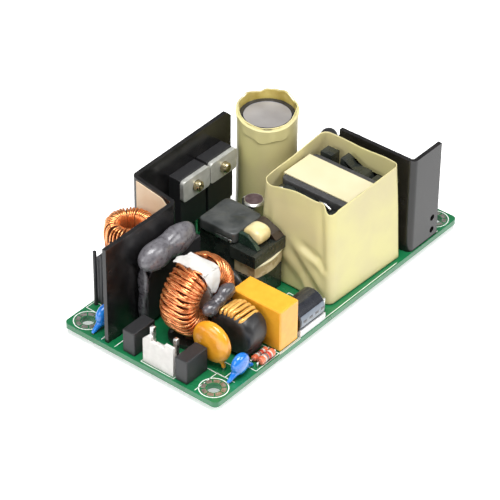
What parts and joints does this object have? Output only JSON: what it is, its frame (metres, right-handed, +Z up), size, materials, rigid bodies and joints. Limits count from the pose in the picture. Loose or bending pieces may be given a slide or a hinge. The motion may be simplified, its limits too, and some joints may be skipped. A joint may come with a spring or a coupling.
{
  "type": "open frame power supply",
  "caption": "Open frame mains power supply: circuit board with folded heat sinks, wound chokes, capacitors and a taped transformer.",
  "frame": {"origin": "centre of the four mounting holes, on the board's underside", "axes": "+X along the board from the mains end to the output end, +Y across it towards the taped capacitor, +Z up from the board through the parts"},
  "size_m": [0.1016, 0.0516, 0.037],
  "materials": {
    "adhesive": "white adhesive",
    "anodised_sheet": "black anodised aluminium sheet, satin",
    "beige_tape": "tape stained beige by varnish",
    "black_coating": "black phenolic coating",
    "blue_coating": "blue epoxy coating",
    "bobbin_resin": "black bobbin resin",
    "can_aluminium": "drawn aluminium can",
    "can_sleeve": "shrunk black sleeve, unprinted",
    "clamp_steel": "nickel plated steel, slightly worn",
    "copper_wire": "enamelled copper wire, glossy",
    "cream_tape": "cream insulating tape",
    "ferrite": "grey black ferrite",
    "fuse_case": "black moulded fuse case",
    "grey_case": "dark grey capacitor case",
    "ivory_nylon": "ivory nylon",
    "moulding": "black moulding compound, satin",
    "orange_coating": "orange epoxy coating",
    "resistor_coat": "lacquer with colour bands",
    "screw_steel": "yellow passivated screw",
    "silicone": "dark grey silicone, glossy and uneven",
    "sleeving": "black sleeving",
    "solder": "bright solder fillets",
    "solder_mask": "green solder mask over glass fibre, white component outlines",
    "tinned_copper": "tinned copper",
    "white_plastic": "white plastic",
    "yellow_case": "yellow capacitor case",
    "yellow_tape": "yellow polyester tape"
  },
  "bodies": {
    "root": {"circuit_board": "solder_mask", "solder_joints": "solder", "primary_heat_sink": "anodised_sheet", "secondary_heat_sink": "anodised_sheet", "heat_sink_tape": "cream_tape", "transistor_bodies": "moulding", "transistor_legs": "tinned_copper", "clamp_plates": "clamp_steel", "clamp_screws": "screw_steel", "rectifier_bodies": "moulding", "rectifier_legs": "tinned_copper", "bridge_rectifier": "moulding", "bridge_legs": "tinned_copper", "silicone_beads": "silicone", "grey_film_capacitor": "grey_case", "toroid_core": "ferrite", "toroid_winding": "copper_wire", "toroid_leads": "sleeving", "disc_capacitors": "blue_coating", "varistor": "orange_coating", "thermistor": "black_coating", "fuses": "fuse_case", "inlet_header": "ivory_nylon", "inlet_pins": "tinned_copper", "common_mode_base": "bobbin_resin", "common_mode_core": "ferrite", "common_mode_near_winding": "copper_wire", "common_mode_far_winding": "copper_wire", "common_mode_separator": "white_plastic", "sleeved_choke_core": "ferrite", "sleeved_choke_winding": "copper_wire", "sleeved_choke_sleeve": "sleeving", "yellow_film_capacitor": "yellow_case", "axial_resistors": "resistor_coat", "lying_capacitor": "can_aluminium", "lying_capacitor_sleeve": "can_sleeve", "capacitor_adhesive": "adhesive", "boost_core": "ferrite", "boost_bobbin": "bobbin_resin", "boost_winding": "yellow_tape", "boost_tape": "beige_tape", "control_capacitor": "can_aluminium", "bulk_capacitor": "can_aluminium", "bulk_capacitor_sleeve": "can_sleeve", "bulk_capacitor_tape": "yellow_tape", "transformer_core": "ferrite", "transformer_bobbin": "bobbin_resin", "transformer_winding": "yellow_tape", "transformer_pins": "tinned_copper", "transformer_band": "yellow_tape", "transformer_sheath": "yellow_tape", "output_capacitors": "can_aluminium", "output_capacitor_sleeves": "can_sleeve", "rod_choke": "sleeving", "output_header": "ivory_nylon", "output_pins": "tinned_copper", "optocouplers": "moulding", "controller_chips": "moulding", "chip_resistors": "moulding", "component_leads": "tinned_copper"}
  },
  "joints": []
}
